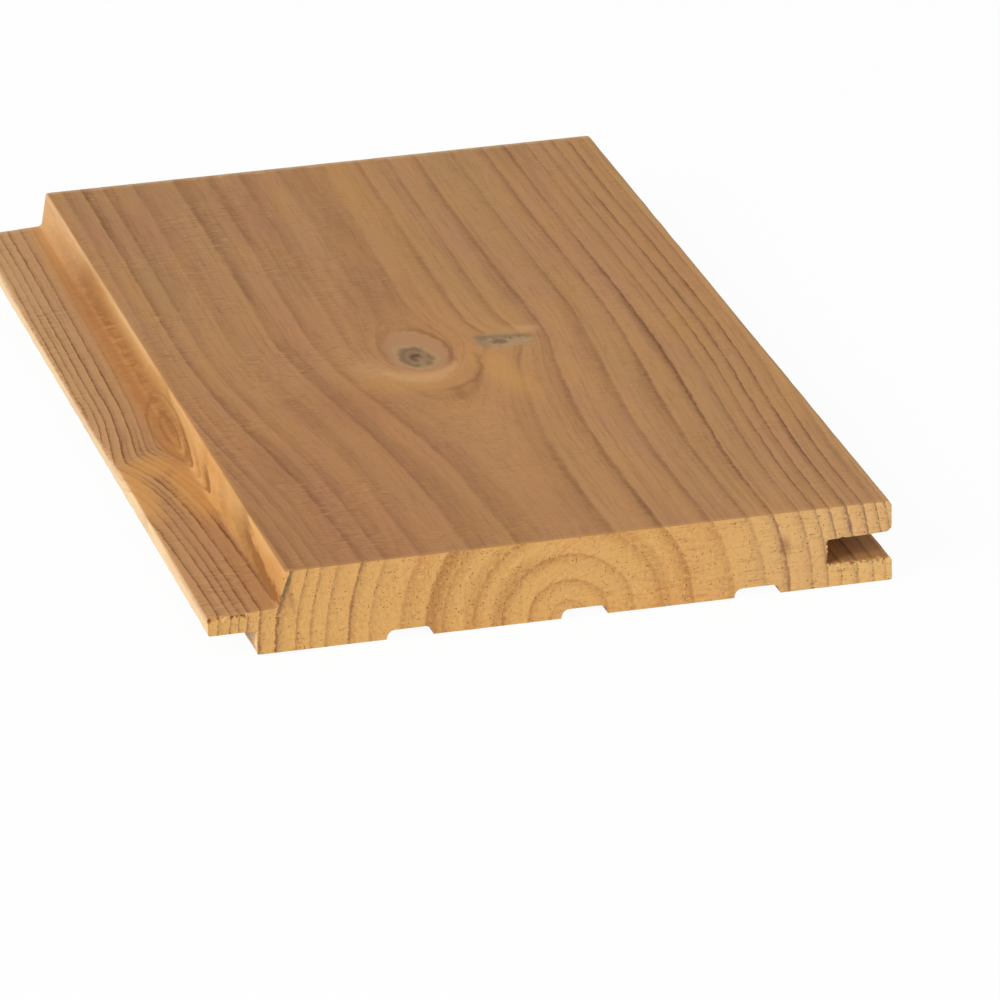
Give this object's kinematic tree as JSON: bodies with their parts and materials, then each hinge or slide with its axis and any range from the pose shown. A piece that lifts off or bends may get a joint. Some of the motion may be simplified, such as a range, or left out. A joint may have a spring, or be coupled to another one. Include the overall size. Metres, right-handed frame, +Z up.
{
  "type": "tongue and groove board",
  "caption": "Planed softwood board with a tongue and slanted rebate on one edge, a matching groove on the other, and shallow relief grooves along its underside.",
  "frame": {"origin": "under the middle of the board, at half its overall width and half its length, on the plane that its underside rests on", "axes": "+X across the board from tongue to groove, +Y along the grain and the length, away from the end that the picture shows, +Z up from the underside to the show face"},
  "size_m": [0.165, 0.27, 0.02],
  "materials": {
    "wood": "planed, unfinished softwood, matt"
  },
  "bodies": {
    "root": {"board": "wood"}
  },
  "joints": []
}
